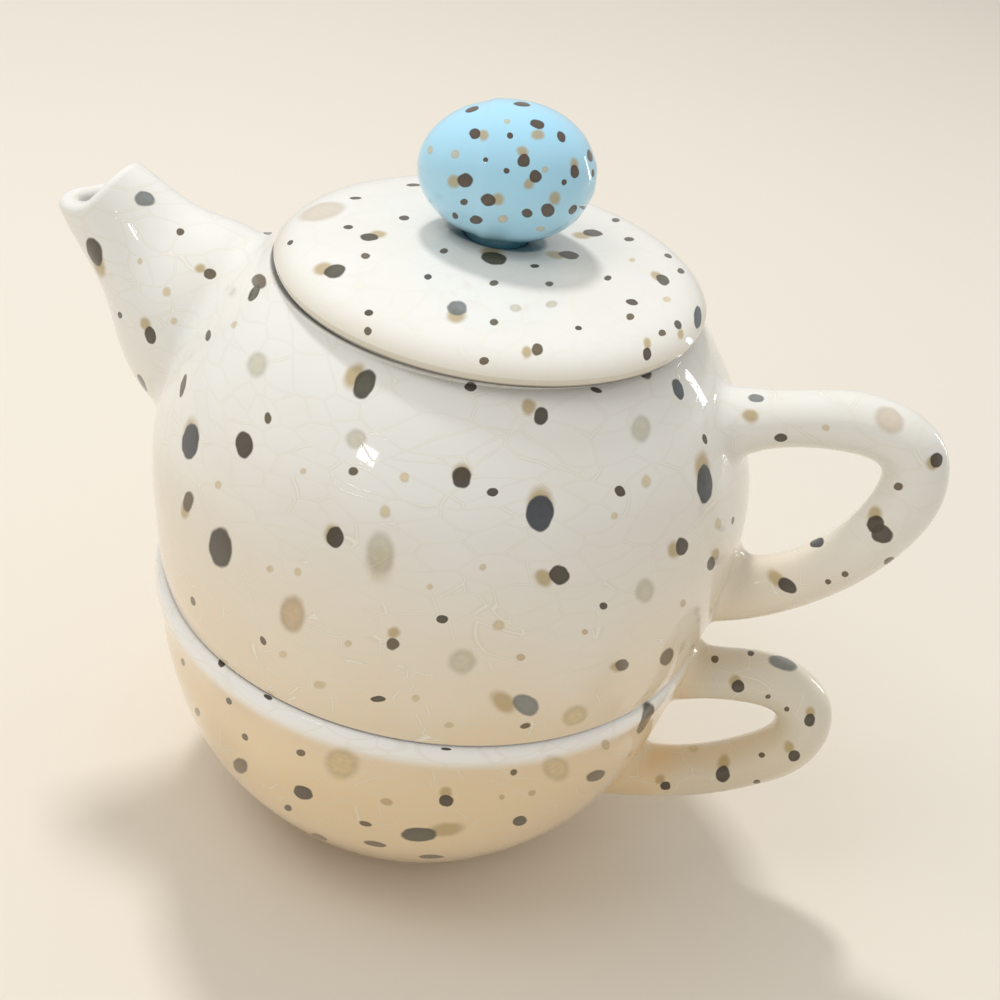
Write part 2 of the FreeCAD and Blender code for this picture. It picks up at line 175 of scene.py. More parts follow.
LID_SPOTS = [
    (322, 211, 46, 17, -12, "rose"),
    (369, 237, 18, 8, 0, "dark", 9, -3),
    (335, 271, 21, 13, -12, "bronze", -12, -3),
    (365, 256, 9, 6, 0, "olive"),
    (348, 227, 10, 4, 0, "dark"),
    (404, 218, 10, 5, 0, "dark"),
    (356, 198, 12, 3, 0, "dark"),
    (414, 185, 14, 3, 0, "dark"),
    (428, 277, 8, 6, 0, "dark"),
    (369, 313, 9, 7, 0, "dark"),
    (368, 331, 8, 9, 0, "olive"),
    (290, 243, 7, 4, -35, "dark"),
    (457, 308, 20, 15, 0, "grey", -1, 8),
    (494, 258, 26, 12, 8, "bronze", -2, -5),
    (569, 255, 21, 8, 8, "dark", -13, 0),
    (593, 233, 20, 7, 6, "dark", -11, 2),
    (535, 266, 9, 4, 0, "dark"),
    (444, 251, 8, 5, 0, "olive"),
    (494, 283, 9, 6, 0, "olive"),
    (549, 284, 8, 5, 0, "olive"),
    (608, 278, 8, 5, 0, "dark"),
    (494, 322, 9, 7, 0, "olive"),
    (578, 328, 7, 5, 0, "dark"),
    (537, 349, 11, 13, 0, "olive", -10, 3),
    (484, 361, 8, 6, 0, "olive"),
    (632, 302, 12, 6, 10, "dark"),
    (630, 317, 8, 6, 0, "olive"),
    (647, 354, 8, 13, 0, "dark", 1, -11),
    (662, 333, 7, 6, 0, "olive"),
    (678, 325, 7, 10, -20, "bronze", 3, 8),
    (663, 280, 14, 9, 30, "bronze", -6, -4),
    (698, 317, 8, 23, 0, "blue"),
    (668, 256, 8, 4, 20, "dark"),
    (629, 239, 9, 4, 0, "dark"),
    (616, 220, 8, 4, 0, "dark"),
    (586, 208, 9, 4, 0, "dark"),
    (632, 260, 7, 4, 0, "speck"),
    (681, 271, 7, 5, 30, "dark"),
    (667, 299, 7, 5, 0, "speck"),
    (552, 304, 12, 7, 0, "faint"),
    (515, 308, 10, 7, 0, "faint"),
]
EGG_SPOTS = [
    (475, 134, 11, 11, 0, "egg", 8, 1),
    (537, 124, 15, 9, 15, "egg", 1, 10),
    (524, 160, 13, 13, 0, "egg", -1, -8),
    (575, 171, 9, 14, 0, "egg", 0, -7),
    (561, 136, 8, 12, -25, "egg"),
    (535, 177, 11, 12, 0, "egg", -6, 7),
    (465, 181, 15, 14, 15, "egg", -11, 1),
    (488, 200, 14, 13, 0, "egg", 10, -1),
    (548, 210, 13, 14, 25, "egg", 7, -11),
    (527, 213, 12, 9, 0, "egg"),
    (476, 220, 12, 9, 0, "egg"),
    (455, 216, 6, 8, -30, "egg"),
    (464, 202, 6, 5, 0, "egg"),
    (485, 160, 6, 6, 0, "egg"),
    (506, 171, 5, 5, 0, "egg"),
    (510, 136, 5, 5, 0, "egg"),
    (564, 182, 5, 6, 0, "egg"),
    (507, 121, 6, 5, 0, "egg_faint"),
    (456, 154, 8, 8, 0, "egg_faint"),
    (430, 150, 5, 8, 0, "egg_faint"),
    (545, 169, 6, 6, 0, "egg_faint"),
    (503, 219, 9, 7, 0, "egg_faint"),
    (541, 229, 8, 5, 0, "egg_faint"),
    (573, 210, 7, 10, 30, "egg"),
    (472, 109, 14, 5, -15, "egg"),
    (522, 104, 16, 5, 5, "egg"),
    (590, 156, 5, 12, -10, "egg"),
    (593, 173, 3, 9, 0, "egg"),
]
POT_HANDLE_SPOTS = [
    (756, 398, 16, 8, 5, "grey", -6, 13),
    (781, 438, 12, 8, 0, "dark"),
    (826, 428, 7, 6, 0, "speck"),
    (890, 419, 31, 24, 35, "rose"),
    (937, 460, 13, 16, 0, "dark", -4, 3),
    (875, 524, 17, 18, 0, "dark", -1, -10),
    (882, 534, 22, 18, 25, "dark"),
    (898, 486, 10, 8, 0, "olive"),
    (788, 586, 22, 13, 35, "dark", -12, -7),
    (817, 542, 15, 9, -20, "blue"),
    (828, 582, 7, 6, 0, "olive"),
    (845, 574, 7, 6, 0, "olive"),
    (889, 561, 12, 5, -25, "olive"),
]
CUP_HANDLE_SPOTS = [
    (715, 659, 8, 7, 0, "olive"),
    (751, 653, 7, 5, 0, "dark"),
    (783, 662, 30, 13, 18, "grey"),
    (738, 687, 13, 13, 30, "dark", -3, -5),
    (768, 697, 6, 5, 0, "olive"),
    (787, 709, 6, 6, 0, "olive"),
    (810, 720, 11, 13, 0, "dark", 0, -7),
    (794, 756, 12, 11, -30, "dark", -5, -8),
    (723, 774, 14, 17, 0, "dark", 0, -10),
    (762, 755, 7, 6, 0, "olive"),
    (665, 786, 11, 9, 0, "dark", -5, -6),
    (693, 748, 10, 6, 0, "speck"),
    (757, 782, 7, 5, 0, "olive"),
]
CUP_SPOTS = [
    (303, 793, 20, 13, 25, "dark"),
    (301, 753, 10, 7, 20, "olive"),
    (342, 763, 33, 28, 20, "pale"),
    (387, 802, 12, 7, 10, "tan"),
    (366, 824, 13, 5, 10, "olive"),
    (446, 801, 14, 12, 0, "dark", 0, -8),
    (419, 835, 36, 14, 0, "bronze", 27, -4),
    (520, 821, 15, 9, -15, "dark"),
    (514, 772, 7, 6, -30, "olive"),
    (502, 797, 6, 5, 0, "tan"),
    (532, 793, 7, 5, -20, "tan"),
    (556, 768, 27, 23, 30, "pale"),
    (596, 776, 19, 10, -25, "olive"),
    (606, 745, 8, 9, 0, "tan"),
    (646, 720, 7, 31, 35, "dark"),
    (240, 766, 14, 16, -30, "olive"),
    (245, 737, 5, 8, -30, "olive"),
    (229, 701, 5, 8, -30, "dark"),
    (197, 712, 4, 9, -20, "olive"),
    (183, 662, 4, 9, -15, "olive"),
    (288, 808, 8, 6, 30, "dark"),
    (319, 837, 17, 6, 20, "olive"),
    (375, 844, 22, 5, 10, "olive"),
    (431, 857, 24, 4, 0, "dark"),
]
TEAPOT_ROWS = BODY_SPOTS + SPOUT_SPOTS + POT_HANDLE_SPOTS
CUP_ROWS = CUP_SPOTS + CUP_HANDLE_SPOTS

# Spots on the sides that the photograph doesn't show: how many tries, seed, kinds drawn from
TEAPOT_KINDS = ("dark", "dark", "dark", "olive", "olive", "blue", "faint", "tan", "speck", "speck")
CUP_KINDS = ("dark", "dark", "olive", "olive", "blue", "tan", "tan", "speck")
LID_KINDS = ("dark", "olive", "grey", "speck")
EGG_KINDS = ("egg", "egg", "egg", "egg_faint")
HIDDEN = {
    "teapot": (400, 11, TEAPOT_KINDS),
    "cup": (170, 12, CUP_KINDS),
    "lid": (90, 13, LID_KINDS),
    "egg_knob": (60, 14, EGG_KINDS),
}

# Half axes of those spots in metres, how fast large ones grow rare, how oval they are
SMALLEST_SPOT = 0.0006
LARGEST_SPOT = 0.0036
LARGEST_SPECK = 0.0012
SIZE_POWER = 2.2
MOST_OVAL = 0.65
EGG_SPOT_SHARE = 0.55

# Chance of a ghost beside a hidden spot, and how far off it lies in half axes
GHOST_CHANCE = 0.35
GHOST_OFFSET = 0.7

# Outside of the set: the belly's radius, the lid's edge above its flange, slopes and height of the foot
BELLY_RADIUS = 0.0585
LID_EDGE_RISE = 0.0075
LID_LEAST_UP = -0.2
LEAST_OUTWARD = 0.15
UNDERSIDE_SLOPE = -0.5
UNDERSIDE_HEIGHT = 0.03

# Most layers of spots on a node, and how spots are laid: reach in half axes, least turn to the surface
LAYERS = {"teapot": 8, "cup": 9, "lid": 8, "egg_knob": 6}
SPOT_REACH = 1.35
LEAST_FACING = 0.05
FLATTEST_SIGHT = 0.16
SIGHT_SLACK = 0.001
ABOVE_SKIN = 0.0002

# A point takes part in a spot only where every corner of its triangle was laid with it
LAID = 0.999

# Every noise below is a scale and a detail, and swings round this middle
NOISE_MIDDLE = 0.5

# Wandering outline of a spot: depth in metres, gain, noise
OUTLINE_WANDER = 0.00022
WANDER_GAIN = 4.0
WANDER_NOISE = (420.0, 1.0)

# Shade inside a spot: grain, and darker towards the edge, where the glaze colour pools
GRAIN_NOISE = (900.0, 3.0)
GRAIN_RANGE = (0.3, 0.7)
GRAIN_SHADES = (0.93, 1.10)
POOLED_RADII = (0.4, 0.95)
POOLED_SHADES = (1.10, 0.88)
GHOST_RADII = (0.55, 1.25)
GHOST_SHARE = 0.8

# Levels where the pot sits in the cup and the lid in the pot
SEAT_Z = 0.0580
MOUTH_Z = 0.1236

# Painted shade in the gaps there, as dark lines: level, how far out from the axis and how far up and down
# each shows
GAP_SHADES = {
    "mouth": (MOUTH_Z, 0.0435, 0.0009),
    "seat": (SEAT_Z, 0.0575, 0.0006),
}
GAP_SHADE_SHARE = 0.85
GAP_SHADE_CORE = 0.4

# Body colour: levels between which it changes, how far clouds shift them, and the warmer patches
BODY_LEVELS = (0.035, 0.115)
BODY_DRIFT = 0.03
CLOUD_NOISE = (28.0, 3.0)
BLUSH_NOISE = (45.0, 3.0)
BLUSH_RANGE = (0.35, 0.75)
BLUSH_SHARE = 0.10

# The egg's colour changes between these rises over its lowest point
EGG_RISES = (0.0005, 0.0050)
EGG_DRIFT = 0.003

# Bands of colour: darker and warmer towards the foot, greyer handles partly painted shade, the cup's
# white lip partly painted highlight, painted shade on the lid's rim
FOOT_LEVELS = (-0.004, 0.022)
FOOT_SHARE = 0.8
HANDLE_OUT = (0.053, 0.062)
HANDLE_LEVELS = (0.034, 0.050)
HANDLE_LOW_SHARE = 0.75
LIP_LEVELS = (SEAT_Z - 0.0060, SEAT_Z - 0.0022)
LIP_OUT = (0.053, 0.057)
RIM_SHADE_LEVELS = (MOUTH_Z, MOUTH_Z + 0.0055)
RIM_SHADE_SHARE = 0.6

# Pool of the egg's glaze painted on the lid, its colour darkened as painted shade under the egg: its
# centre, one over its half axes, its soft edge
POOL_PLACE = (0.0017, 0.0010, 0.1316)
POOL_SPREAD = (100.0, 150.0, 150.0)
POOL_EDGE = (0.86, 1.0)
POOL_SHARE = 0.85

# Crazing: cells of the net, their flattening, how much they bend, where the net shows
CRACK_SCALE = 112.0
CRACK_STRETCH = (1.0, 1.0, 2.5)
CRACK_BEND = (0.012, 0.012, 0.012)
CRACK_BEND_NOISE = (38.0, 2.0)
CRACK_PATCH_NOISE = (55.0, 2.0)
CRACK_PATCHES = (0.24, 0.42)
CRACK_WIDTH = 0.018
CRACK_SHADE_WIDTH = CRACK_WIDTH * 3
CRACK_SHARE = 0.75
CRACK_SHADE_SHARE = 0.28

# Uneven skin: noise and depth of its waves, grain and crack ridges, and the bump that shows them
WAVE_NOISE = (60.0, 1.0)
WAVE_DEPTH = 0.6
SKIN_GRAIN_NOISE = (1400.0, 2.0)
SKIN_GRAIN_DEPTH = 0.004
CRACK_RIDGE = 0.04
BUMP_STRENGTH = 0.3
BUMP_DISTANCE = 0.0006

# Shader of the glaze: a clear glossy coat over a softer base
GLAZE = {
    "Roughness": 0.4,
    "IOR": 1.5,
    "Specular IOR Level": 0.15,
    "Coat Weight": 1.0,
    "Coat Roughness": 0.04,
    "Coat IOR": 1.5,
}

# Body pieces: share of crazing, share of the greyer cream and painted shade on a handle, bands of colour
# that each has
BODY_GLAZES = (
    ("cup", 0.6, 0.95, ("foot", "lip", "handle")),
    ("teapot", 1.0, 0.15, ("mouth", "seat", "handle")),
    ("lid", 0.35, 0.0, ("mouth", "pool", "rim")),
)

# Floor: side in metres, its two tones and their clouds
FLOOR_SIDE = 3.0
FLOOR_TONES = ((233, 226, 214), (237, 230, 218))
FLOOR_NOISE = (4.0, 2.0)
FLOOR_ROUGHNESS = 0.9

# Lamps: place, width and height in metres, watts, whether reflections show the lamp
LAMPS = {
    "key": ((-0.25, 0.30, 1.00), 0.12, 0.12, 4.0, False),
    "fill": ((-0.35, -0.30, 0.90), 0.40, 0.40, 1.6, False),
    "lamp": ((-0.25, 0.30, 1.00), 0.10, 0.10, 0.25, True),
    "window": ((-0.31, -0.72, 0.53), 0.11, 0.045, 0.20, True),
    "strip": ((0.55, 0.55, 0.16), 0.05, 0.30, 0.4, True),
}
LAMP_AIM = Vector((0, 0, 0.08))
WORLD_TONE = (250, 248, 244)
WORLD_STRENGTH = 0.60

# Keeps the two flat coordinates, and keeps a division from failing
FLAT = (1, 1, 0)
NEVER_ZERO = 1e-20


def linear(colour, alpha=1.0):
    """Linear colour with alpha from sRGB 0 to 255."""
    out = []
    for value in colour:
        c = value / 255
        out.append(c / 12.92 if c <= 0.04045 else ((c + 0.055) / 1.055) ** 2.4)
    return (*out, alpha)


# Camera

def camera_axes():
    """Right, up and forward of the camera."""
    turn = math.radians(CAMERA_TURN)
    down = math.radians(CAMERA_DOWN)
    roll = math.radians(CAMERA_ROLL)
    forward = Vector((-math.sin(turn) * math.cos(down), math.cos(turn) * math.cos(down), -math.sin(down)))
    level = Vector((math.cos(turn), math.sin(turn), 0))
    top = level.cross(forward)
    right = level * math.cos(roll) + top * math.sin(roll)
    up = right.cross(forward)
    return right, up, forward


RIGHT, UP, FORWARD = camera_axes()
EYE = CAMERA_AIM - FORWARD * CAMERA_DISTANCE
FOCAL_PIXELS = LENS_MM / SENSOR_MM * PHOTO_SIZE


def sight(x, y):
    """Direction from the camera through a pixel of the photograph."""
    across = (x - PHOTO_SIZE / 2) / FOCAL_PIXELS
    below = (y - PHOTO_SIZE / 2) / FOCAL_PIXELS
    return FORWARD + RIGHT * across - UP * below


def make_camera():
    """Camera that sees the set as the photograph does."""
    data = bpy.data.cameras.new("camera")
    data.sensor_width = SENSOR_MM
    data.lens = LENS_MM
    data.clip_start = NEAREST_SIGHT
    camera = bpy.data.objects.new("camera", data)
    axes = Matrix((RIGHT, UP, -FORWARD)).transposed()
    camera.matrix_world = Matrix.Translation(EYE) @ axes.to_4x4()
    bpy.context.scene.collection.objects.link(camera)
    bpy.context.scene.camera = camera


# Spots, laid on the surfaces as flat local coordinates kept on the vertices

class Surface:
    """Vertices, triangles and search tree of one node."""

    def __init__(self, node):
        mesh = node.data
        mesh.calc_loop_triangles()
        self.mesh = mesh
        self.points = np.zeros(len(mesh.vertices) * 3, np.float32)
        mesh.vertices.foreach_get("co", self.points)
        self.points = self.points.reshape(-1, 3)
        self.triangles = np.zeros(len(mesh.loop_triangles) * 3, np.int32)
        mesh.loop_triangles.foreach_get("vertices", self.triangles)
        self.triangles = self.triangles.reshape(-1, 3)
        corners = self.points[self.triangles]
        self.middles = corners.mean(1)
        self.reach = np.linalg.norm(corners - self.middles[:, None], axis=2).max(1)
        cross = np.cross(corners[:, 1] - corners[:, 0], corners[:, 2] - corners[:, 0])
        length = np.linalg.norm(cross, axis=1)
        self.areas = length / 2
        self.normals = cross / np.maximum(length, NEVER_ZERO)[:, None]
        self.tree = BVHTree.FromPolygons(self.points.tolist(), self.triangles.tolist())


class Spot:
    """Place, two half axes and look of one spot, with its ghost if it has one."""

    def __init__(self, centre, normal, major, minor, kind, ghost=None):
        self.centre = np.array(centre)
        self.normal = np.array(normal)
        self.major = np.array(major)
        self.minor = np.array(minor)
        self.kind = kind
        self.size = max(np.linalg.norm(self.major), np.linalg.norm(self.minor))
        across = np.cross(self.minor, self.normal)
        self.along_major = across / (self.major @ across)
        across = np.cross(self.normal, self.major)
        self.along_minor = across / (self.minor @ across)
        self.ghost = (0.0, 0.0, 0.0)
        if ghost is not None:
            offset = np.array(ghost)
            strength = FAINT_GHOST if kind == "faint" else 1.0
            self.ghost = (offset @ self.along_major, offset @ self.along_minor, strength)
        self.spread = self.size * (SPOT_REACH + math.hypot(self.ghost[0], self.ghost[1]))


def nearest_hit(x, y, surfaces):
    """Distance, node, place and normal of what the camera sees at a pixel, or None."""
    best = None
    for name, surface in surfaces.items():
        place, normal, index, distance = surface.tree.ray_cast(EYE, sight(x, y).normalized())
        if place is not None and (best is None or distance < best[0]):
            best = (distance, name, place, normal)
    return best


def turned_to_camera(normal, towards):
    """Normal on the camera's side, and never so flat to its sight that a spot grows very long."""
    if normal.dot(towards) > 0:
        normal = -normal
    flat = -normal.dot(towards)
    if flat < FLATTEST_SIGHT:
        side = (normal + towards * flat).normalized()
        normal = side * math.sqrt(1 - FLATTEST_SIGHT ** 2) - towards * FLATTEST_SIGHT
    return normal


def seen_spot(row, surfaces):
    """Node and spot through a pixel of the photograph, on the nearest surface there."""
    x, y, width, height, lean, kind = row[:6]
    best = nearest_hit(x, y, surfaces)
    if best is None:
        return None, None
    _, name, place, normal = best
    normal = turned_to_camera(normal, sight(x, y).normalized())

    def on_plane(px, py):
        ray = sight(px, py)
        return EYE + ray * ((place - EYE).dot(normal) / ray.dot(normal)) - place

    turn = math.radians(lean)
    half_width = width / 2
    half_height = height / 2
    major = on_plane(x + half_width * math.cos(turn), y + half_width * math.sin(turn))
    minor = on_plane(x - half_height * math.sin(turn), y + half_height * math.cos(turn))
    ghost = on_plane(x + row[6], y + row[7]) if len(row) > 6 else None
    return name, Spot(place, normal, major, minor, kind, ghost)


def is_seen(point, surfaces):
    """Whether the camera sees a point of the set."""
    towards = point - EYE
    distance = towards.length
    for surface in surfaces.values():
        hit = surface.tree.ray_cast(EYE, towards.normalized())
        if hit[0] is not None and hit[3] < distance - SIGHT_SLACK:
            return False
    return True


def faces_out(name, place, normal):
    """Whether a place is on the outside of the set, not in the tea or under the lid."""
    if name == "lid":
        return normal.z > LID_LEAST_UP and place.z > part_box("lid")[0].z + LID_EDGE_RISE
    if name == "egg_knob":
        return True
    if name == "teapot" and place.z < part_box("cup")[1].z:
        return False
    radius = math.hypot(place.x, place.y)
    outwards = (normal.x * place.x + normal.y * place.y) / max(radius, NEVER_ZERO)
    underside = name == "cup" and normal.z < UNDERSIDE_SLOPE and place.z < UNDERSIDE_HEIGHT
    return radius > BELLY_RADIUS or outwards > LEAST_OUTWARD or underside


def hidden_spots(name, surfaces):
    """Seeded spots where the photograph doesn't show the outside of a node."""
    tries, seed, kinds = HIDDEN[name]
    surface = surfaces[name]
    draw = random.Random(seed)
    steps = np.cumsum(surface.areas)
    spots = []
    for _ in range(tries):
        index = int(np.searchsorted(steps, draw.random() * steps[-1]))
        place = Vector(surface.middles[index])
        normal = Vector(surface.normals[index])
        turn = draw.uniform(0, math.pi)
        size = SMALLEST_SPOT + (LARGEST_SPOT - SMALLEST_SPOT) * draw.random() ** SIZE_POWER
        oval = draw.uniform(MOST_OVAL, 1.0)
        kind = draw.choice(kinds)
        ghost_turn = draw.uniform(0, 2 * math.pi)
        has_ghost = draw.random() < GHOST_CHANCE
        if kind.startswith("egg"):
            size *= EGG_SPOT_SHARE
        if kind == "speck":
            size = min(size, LARGEST_SPECK)
        if not faces_out(name, place, normal) or is_seen(place + normal * ABOVE_SKIN, surfaces):
            continue
        if any((place - Vector(s.centre)).length < s.size + size for s in spots):
            continue
        across = normal.orthogonal().normalized()
        major = Matrix.Rotation(turn, 3, normal) @ across * size
        minor = normal.cross(major) * oval
        ghost = None
        if has_ghost:
            ghost = Matrix.Rotation(ghost_turn, 3, normal) @ across * size * GHOST_OFFSET
        spots.append(Spot(place, normal, major, minor, kind, ghost))
    return spots


def free_layer(layers, rim, count, most):
    """Layer that has no spot on these vertices yet, a new one while there is room, or None."""
    for layer in layers:
        if not layer["used"][rim].any():
            return layer
    if len(layers) == most:
        return None
    layer = {
        "used": np.zeros(count, bool),
        "place": np.zeros((count, 3), np.float32),
        "edge": np.zeros((count, 3), np.float32),
        "ghost": np.zeros((count, 3), np.float32),
        "tone": np.zeros((count, 4), np.float32),
    }
    layers.append(layer)
    return layer


def write_spot(layer, zone, spot, from_centre):
    """Write a spot's coordinates and look on its zone of vertices."""
    tone, opacity, soft = KINDS[spot.kind]
    layer["used"][zone] = True
    layer["place"][zone, 0] = from_centre @ spot.along_major
    layer["place"][zone, 1] = from_centre @ spot.along_minor
    layer["place"][zone, 2] = 1
    layer["edge"][zone] = (1 - soft, 1 + soft, OUTLINE_WANDER / spot.size)
    layer["ghost"][zone] = spot.ghost
    layer["tone"][zone] = linear(TONES[tone], opacity)


def store_layer(mesh, layer, k):
    """Keep a layer as attributes of the mesh's vertices."""
    for part in ("place", "edge", "ghost"):
        data = mesh.attributes.new("spot_%s_%d" % (part, k), "FLOAT_VECTOR", "POINT")
        data.data.foreach_set("vector", layer[part].ravel())
    data = mesh.attributes.new("spot_tone_%d" % k, "FLOAT_COLOR", "POINT")
    data.data.foreach_set("color", layer["tone"].ravel())


def lay_spots(name, spots, surface):
    """Store each spot on the vertices round it, in as few layers as fit; returns their number."""
    count = len(surface.points)
    layers = []
    for spot in spots:
        gap = np.linalg.norm(surface.middles - spot.centre, axis=1) - surface.reach
        facing = surface.normals @ spot.normal > LEAST_FACING
        inside = np.where((gap < spot.spread) & facing)[0]
        if not len(inside):
            continue
        zone = np.unique(surface.triangles[inside])
        marked = np.zeros(count, bool)
        marked[zone] = True
        rim = np.unique(surface.triangles[marked[surface.triangles].any(1)])
        layer = free_layer(layers, rim, count, LAYERS[name])
        if layer is not None:
            write_spot(layer, zone, spot, surface.points[zone] - spot.centre)
    for k, layer in enumerate(layers):
        store_layer(surface.mesh, layer, k)
    return len(layers)


def all_spots():
    """Lay the seen spots and then the hidden ones on each node; returns the layers of each."""
    surfaces = {name: Surface(node) for name, node in NODES.items()}
    seen = {name: [] for name in NODES}
    for row in TEAPOT_ROWS + CUP_ROWS + LID_SPOTS + EGG_SPOTS:
        name, spot = seen_spot(row, surfaces)
        if name is not None:
            seen[name].append(spot)
    layers = {}
    for name in NODES:
        ordered = []
        for found in (seen[name], hidden_spots(name, surfaces)):
            ordered += sorted(found, key=lambda spot: -spot.size)
        layers[name] = lay_spots(name, ordered, surfaces[name])
    return layers


# Materials

class Nodes:
    """Short way to add and link shader nodes."""

    def __init__(self, material):
        self.tree = material.node_tree
        self.tree.nodes.clear()

    def add(self, kind, inputs=None, **settings):
        node = self.tree.nodes.new(kind)
        for key, value in settings.items():
            setattr(node, key, value)
        for key, value in (inputs or {}).items():
            self.feed(node.inputs[key], value)
        return node

    def feed(self, socket, value):
        if isinstance(value, bpy.types.NodeSocket):
            self.tree.links.new(value, socket)
        else:
            socket.default_value = value

    def math(self, operation, *values):
        node = self.add("ShaderNodeMath", operation=operation)
        for socket, value in zip(node.inputs, values):
            self.feed(socket, value)
        return node.outputs[0]

    def vector(self, operation, *values):
        node = self.add("ShaderNodeVectorMath", operation=operation)
        for socket, value in zip(node.inputs, values):
            self.feed(socket, value)
        return node.outputs["Value" if operation == "LENGTH" else "Vector"]

    def scaled(self, vector, share):
        node = self.add("ShaderNodeVectorMath", {0: vector, "Scale": share}, operation="SCALE")
        return node.outputs["Vector"]

    def split(self, vector):
        return self.add("ShaderNodeSeparateXYZ", {0: vector}).outputs

    def noise(self, where, scale_and_detail, output="Fac"):
        scale, detail = scale_and_detail
        inputs = {"Vector": where, "Scale": scale, "Detail": detail}
        return self.add("ShaderNodeTexNoise", inputs).outputs[output]

    def fade(self, value, low, high, to_low=0.0, to_high=1.0):
        inputs = {0: value, 1: low, 2: high, 3: to_low, 4: to_high}
        return self.add("ShaderNodeMapRange", inputs, interpolation_type="SMOOTHSTEP").outputs[0]

    def mix(self, share, first, second):
        node = self.add("ShaderNodeMix", data_type="RGBA")
        self.feed(node.inputs[0], share)
        self.feed(node.inputs[6], first)
        self.feed(node.inputs[7], second)
        return node.outputs[2]

    def attribute(self, name):
        return self.add("ShaderNodeAttribute", attribute_name=name).outputs


def paint_layer(n, colour, k, wander, grain):
    """Mix one layer's ghosts and then its spots over a colour."""
    place = n.attribute("spot_place_%d" % k)["Vector"]
    ghost = n.attribute("spot_ghost_%d" % k)["Vector"]
    tone = n.attribute("spot_tone_%d" % k)
    inner, outer, depth = n.split(n.attribute("spot_edge_%d" % k)["Vector"])
    laid = n.math("GREATER_THAN", n.split(place)[2], LAID)
    flat = n.vector("MULTIPLY", place, FLAT)
    bend = n.math("MULTIPLY", n.math("MULTIPLY", wander, WANDER_GAIN), depth)
    radius = n.math("ADD", n.vector("LENGTH", flat), bend)
    from_ghost = n.vector("SUBTRACT", flat, n.vector("MULTIPLY", ghost, FLAT))
    ghost_radius = n.math("ADD", n.vector("LENGTH", from_ghost), bend)
    share = n.math("MULTIPLY", n.fade(ghost_radius, *GHOST_RADII, GHOST_SHARE, 0.0), laid)
    share = n.math("MULTIPLY", share, n.split(ghost)[2])
    colour = n.mix(share, colour, linear(GHOST))
    core = n.math("MULTIPLY", n.fade(radius, inner, outer, 1.0, 0.0), laid)
    core = n.math("MULTIPLY", core, tone["Alpha"])
    pooled = n.math("MULTIPLY", grain, n.fade(radius, *POOLED_RADII, *POOLED_SHADES))
    return n.mix(core, colour, n.scaled(tone["Color"], pooled))


def paint_spots(n, colour, layers, where):
    """Mix the layers of spots over a colour."""
    wander = n.math("SUBTRACT", n.noise(where, WANDER_NOISE), NOISE_MIDDLE)
    grain = n.fade(n.noise(where, GRAIN_NOISE), *GRAIN_RANGE, *GRAIN_SHADES)
    for k in range(layers):
        colour = paint_layer(n, colour, k, wander, grain)
    return colour


def crazing(n, where, cracks):
    """Shares of the fine pale cracks in the glaze and of the faint shade beside them."""
    drift = n.vector("SUBTRACT", n.noise(where, CRACK_BEND_NOISE, "Color"), (NOISE_MIDDLE,) * 3)
    bent = n.vector("ADD", where, n.vector("MULTIPLY", drift, CRACK_BEND))
    cells = {"Vector": n.vector("MULTIPLY", bent, CRACK_STRETCH), "Scale": CRACK_SCALE}
    gap = n.add("ShaderNodeTexVoronoi", cells, feature="DISTANCE_TO_EDGE").outputs[0]
    shown = n.fade(n.noise(where, CRACK_PATCH_NOISE), *CRACK_PATCHES)
    shares = []
    for width in (CRACK_WIDTH, CRACK_SHADE_WIDTH):
        line = n.math("MULTIPLY", n.fade(gap, 0.0, width, 1.0, 0.0), shown)
        shares.append(n.math("MULTIPLY", line, cracks))
    return shares


def banded(n, colour, where, level, handle, bands):
    """Mix the bands that a piece has over its colour, glaze and painted shade and highlight alike."""
    out, _, height = n.split(where)
    if "foot" in bands:
        # darker and warmer towards the foot
        colour = n.mix(n.fade(level, *FOOT_LEVELS, FOOT_SHARE, 0.0), colour, linear(FOOT_TONE))
    if "handle" in bands:
        # greyer cream and painted shade on the handles
        share = n.fade(out, *HANDLE_OUT, 0.0, handle)
        share = n.math("MULTIPLY", share, n.fade(height, *HANDLE_LEVELS, HANDLE_LOW_SHARE, 1.0))
        colour = n.mix(share, colour, linear(HANDLE_CREAM_AND_SHADE))
    if "lip" in bands:
        # the cup's lip: whiter glaze and a painted highlight
        share = n.math("MULTIPLY", n.fade(height, *LIP_LEVELS), n.fade(out, *LIP_OUT, 1.0, 0.0))
        colour = n.mix(share, colour, linear(LIP_GLAZE_AND_HIGHLIGHT))
    if "rim" in bands:
        # painted shade darkening the lid's rim towards its lower edge
        colour = n.mix(n.fade(height, *RIM_SHADE_LEVELS, RIM_SHADE_SHARE, 0.0), colour, linear(RIM_SHADE))
    if "pool" in bands:
        # pooled egg glaze on the lid, darkened as painted shade
        oval = n.vector("MULTIPLY", n.vector("SUBTRACT", where, POOL_PLACE), POOL_SPREAD)
        share = n.fade(n.vector("LENGTH", oval), *POOL_EDGE, POOL_SHARE, 0.0)
        colour = n.mix(share, colour, linear(EGG_POOL_AND_SHADE))
    return colour


def shade_gaps(n, colour, where, bands):
    """Painted shade: dark lines in the gaps where two pieces meet, on the turned body only and not out on
    the spout.
    """
    height = n.split(where)[2]
    for band, (level, out, reach) in GAP_SHADES.items():
        if band in bands:
            gap = n.math("ABSOLUTE", n.math("SUBTRACT", height, level))
            line = n.fade(gap, reach * GAP_SHADE_CORE, reach, GAP_SHADE_SHARE, 0.0)
            beside = n.vector("LENGTH", n.vector("MULTIPLY", where, FLAT))
            near = n.math("LESS_THAN", beside, out)
            colour = n.mix(n.math("MULTIPLY", line, near), colour, linear(GAP_SHADE))
    return colour


